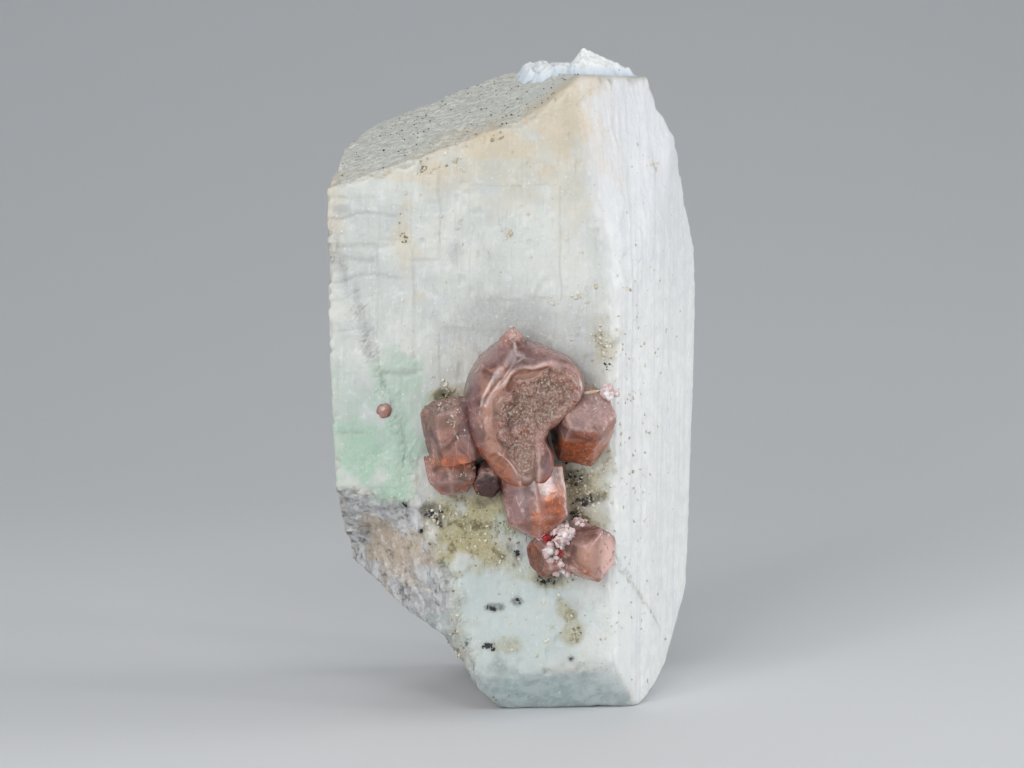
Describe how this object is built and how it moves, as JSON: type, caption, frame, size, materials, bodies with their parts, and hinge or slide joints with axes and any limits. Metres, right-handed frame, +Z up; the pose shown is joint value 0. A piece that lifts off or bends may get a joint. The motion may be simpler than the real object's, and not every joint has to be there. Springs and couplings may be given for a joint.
{
  "type": "apatite crystal specimen on feldspar",
  "caption": "Loose hand specimen: a tall blocky feldspar crystal standing on its foot, with dusty red apatite crystals grown on its front face and a white crust on top.",
  "frame": {"origin": "under the middle of the specimen's box, at the height of its flat foot", "axes": "+Z up along the feldspar's long direction, +X to the right of its big front face, -Y out of that face, where the apatites are"},
  "size_m": [0.0748, 0.0627, 0.1329],
  "materials": {
    "milky_feldspar": "pale grey-white stone, satin cleavage faces and duller broken ones",
    "white_albite": "bluish white translucent blades, finely rough",
    "rose_apatite": "translucent dusty red, glassy faces with etched rough ends"
  },
  "bodies": {
    "root": {"feldspar_crystal": "milky_feldspar", "albite_crust": "white_albite", "apatite_cluster": "rose_apatite", "apatite_left_pair": "rose_apatite", "apatite_broken_prism": "rose_apatite", "apatite_bead": "rose_apatite"}
  },
  "joints": []
}
